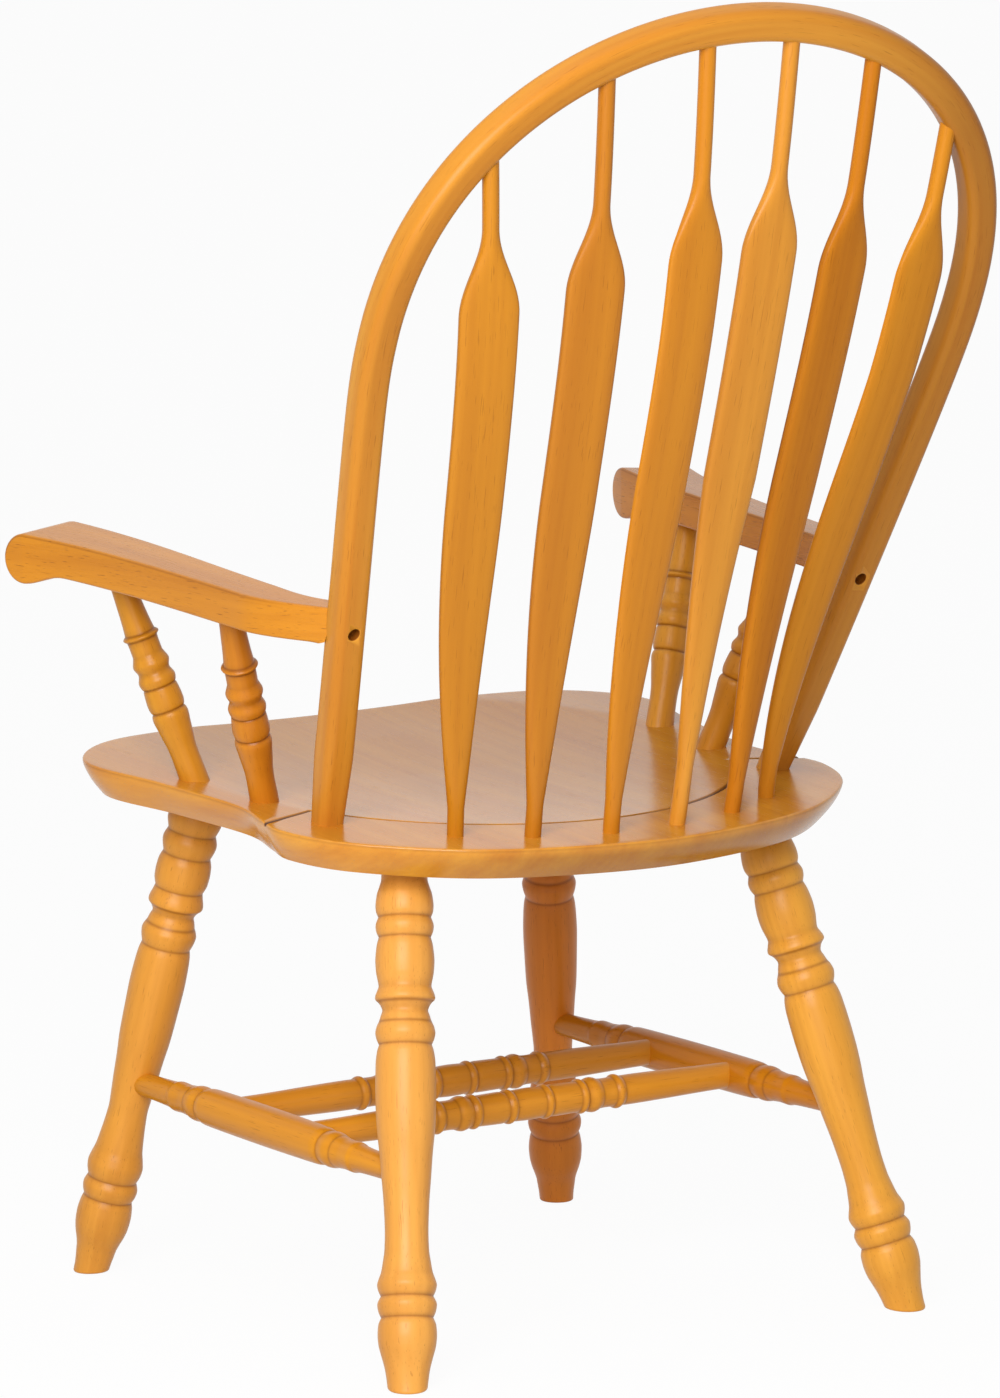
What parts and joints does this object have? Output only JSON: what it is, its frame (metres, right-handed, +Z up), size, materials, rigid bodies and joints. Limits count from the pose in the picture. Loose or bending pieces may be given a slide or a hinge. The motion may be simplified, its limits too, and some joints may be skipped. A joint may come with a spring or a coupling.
{
  "type": "dining armchair",
  "caption": "Bow-back wooden dining armchair with flat-bladed spindles, scrolled arms on turned posts, a saddled seat and turned splayed legs tied by stretchers.",
  "frame": {"origin": "point on the floor below the middle of the chair's width and depth", "axes": "+Z up, -Y the way the sitter faces, +X the sitter's left"},
  "size_m": [0.6928, 0.6433, 1.1191],
  "materials": {
    "seat_wood": "stained and lacquered, satin gloss",
    "turned_wood": "stained and lacquered, satin gloss",
    "bow_wood": "stained and lacquered, satin gloss",
    "spindle_wood": "stained and lacquered, satin gloss",
    "arm_wood": "stained and lacquered, satin gloss",
    "screw_steel": "dull zinc, sunk in its counterbore"
  },
  "bodies": {
    "root": {"seat": "seat_wood", "leg_front_left": "turned_wood", "leg_front_right": "turned_wood", "leg_rear_left": "turned_wood", "leg_rear_right": "turned_wood", "side_stretcher_left": "turned_wood", "side_stretcher_right": "turned_wood", "cross_stretcher_front": "turned_wood", "cross_stretcher_rear": "turned_wood", "back_bow": "bow_wood", "spindle_1": "spindle_wood", "spindle_2": "spindle_wood", "spindle_3": "spindle_wood", "spindle_4": "spindle_wood", "spindle_5": "spindle_wood", "spindle_6": "spindle_wood", "arm_left": "arm_wood", "arm_right": "arm_wood", "arm_post_front_left": "turned_wood", "arm_post_front_right": "turned_wood", "arm_post_rear_left": "turned_wood", "arm_post_rear_right": "turned_wood", "arm_screw_left": "screw_steel", "arm_screw_right": "screw_steel"}
  },
  "joints": []
}
